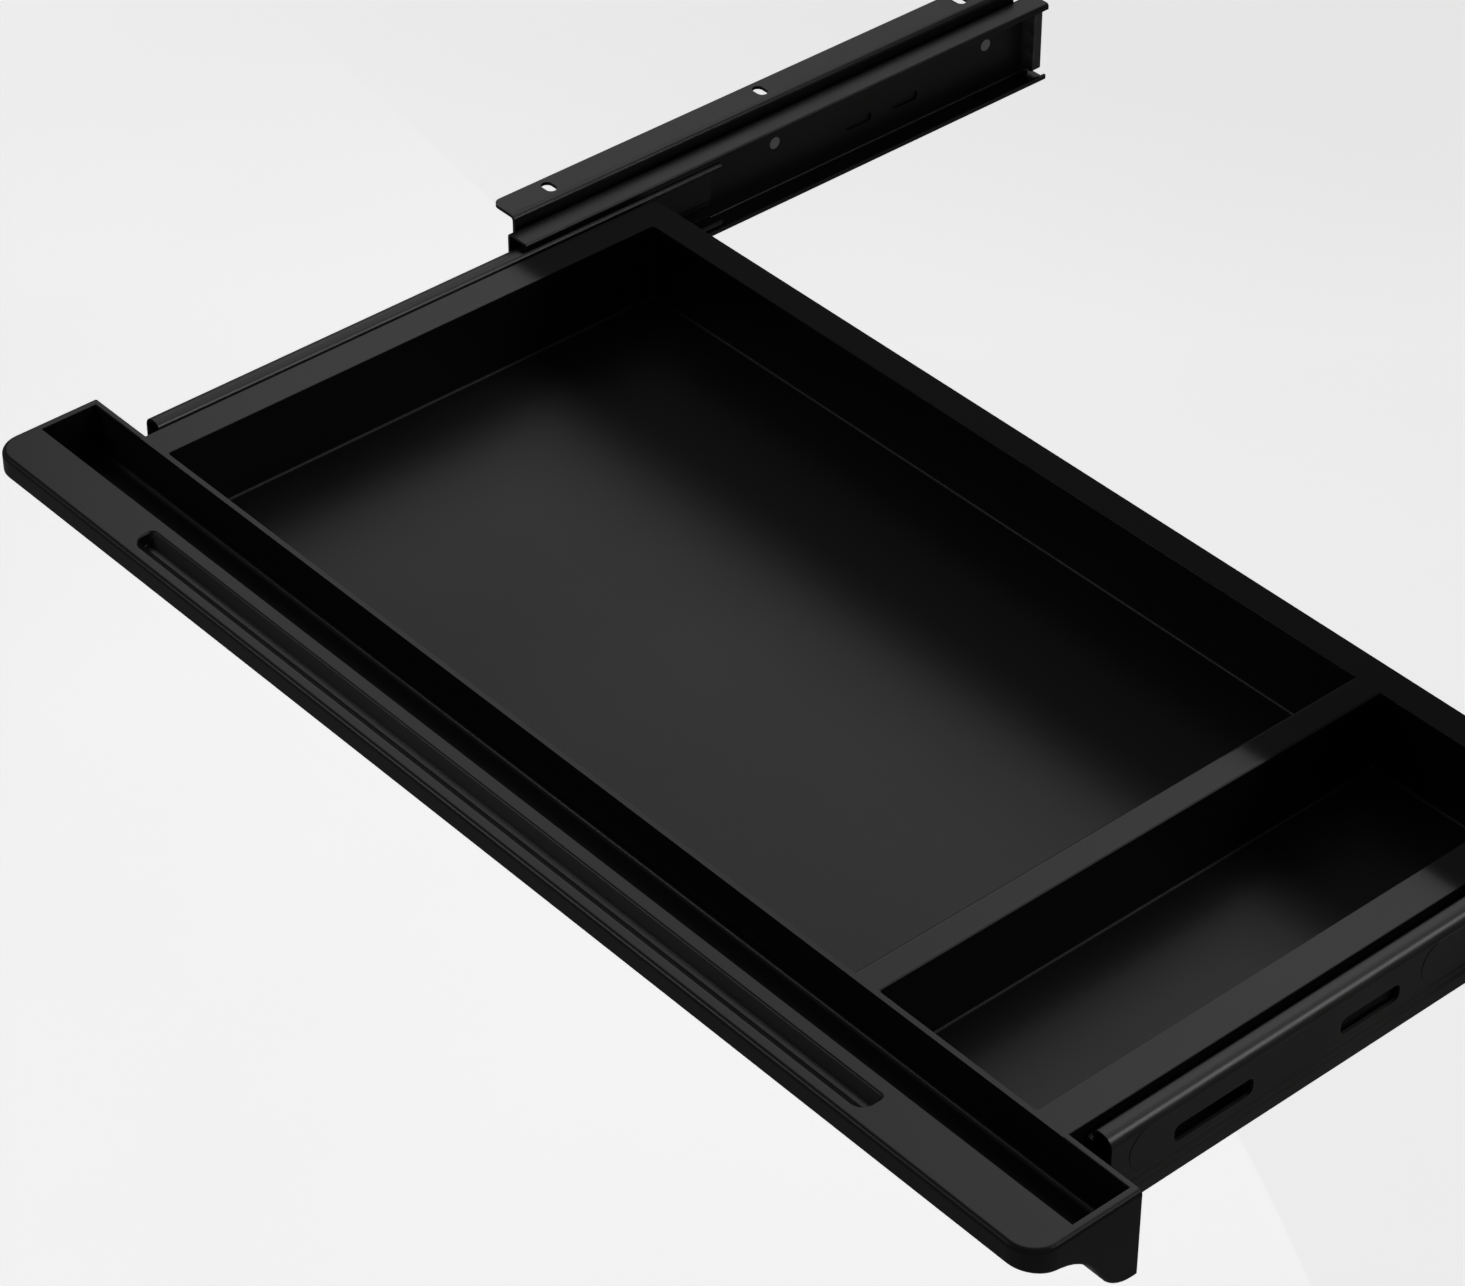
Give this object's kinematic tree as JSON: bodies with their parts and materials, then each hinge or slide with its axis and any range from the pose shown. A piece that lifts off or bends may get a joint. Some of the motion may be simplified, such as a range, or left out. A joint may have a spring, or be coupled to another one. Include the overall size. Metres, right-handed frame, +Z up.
{
  "type": "under desk drawer",
  "caption": "Shallow moulded under-desk drawer with a pen trough, phone groove and divided tray, on ball-bearing slides under desk brackets.",
  "frame": {"origin": "centre of the four corner desk screw slots, on the plane of the brackets that meets the underside of the desk", "axes": "+Z up towards the desk top, +Y towards the back of the desk, +X to the right of a person who faces the drawer"},
  "size_m": [0.604, 0.557, 0.0498],
  "materials": {
    "moulded_plastic": "satin black moulding",
    "zinc_steel": "bright zinc plate",
    "screw_steel": "bright zinc plate",
    "cage_steel": "plain rolled sheet, greased",
    "ball_steel": "polished",
    "black_painted_steel": "satin black paint",
    "bracket_painted_steel": "satin black paint",
    "rivet_steel": "plain steel",
    "stop_rubber": "matt"
  },
  "bodies": {
    "mount": {"left_bracket": "bracket_painted_steel", "left_bracket_rivets": "rivet_steel", "left_outer_member": "black_painted_steel", "left_rear_bumper": "stop_rubber", "right_bracket": "bracket_painted_steel", "right_bracket_rivets": "rivet_steel", "right_outer_member": "black_painted_steel", "right_rear_bumper": "stop_rubber"},
    "middle_members": {"left_middle_member": "black_painted_steel", "right_middle_member": "black_painted_steel"},
    "drawer": {"drawer_tray": "moulded_plastic", "left_inner_member": "zinc_steel", "left_member_screws": "screw_steel", "right_inner_member": "zinc_steel", "right_member_screws": "screw_steel"},
    "outer_cages": {"left_outer_cage": "cage_steel", "left_outer_balls": "ball_steel", "right_outer_cage": "cage_steel", "right_outer_balls": "ball_steel"},
    "inner_cages": {"left_inner_cage": "cage_steel", "left_inner_balls": "ball_steel", "right_inner_cage": "cage_steel", "right_inner_balls": "ball_steel"}
  },
  "joints": [
    {"name": "middle_slide", "type": "slide", "parent": "mount", "child": "middle_members", "axis": [0, -1, 0], "range_m": [-0.1913, 0.0037]},
    {"name": "drawer_slide", "type": "slide", "parent": "middle_members", "child": "drawer", "axis": [0, -1, 0], "range_m": [0, 0.13]},
    {"name": "outer_cage_slide", "type": "slide", "parent": "mount", "child": "outer_cages", "axis": [0, -1, 0], "range_m": [-0.09565, 0.00185]},
    {"name": "inner_cage_slide", "type": "slide", "parent": "middle_members", "child": "inner_cages", "axis": [0, -1, 0], "range_m": [0, 0.065]}
  ],
  "couplings": [
    {"joint": "outer_cage_slide", "follows": "middle_slide", "ratio": 0.5},
    {"joint": "inner_cage_slide", "follows": "drawer_slide", "ratio": 0.5}
  ]
}
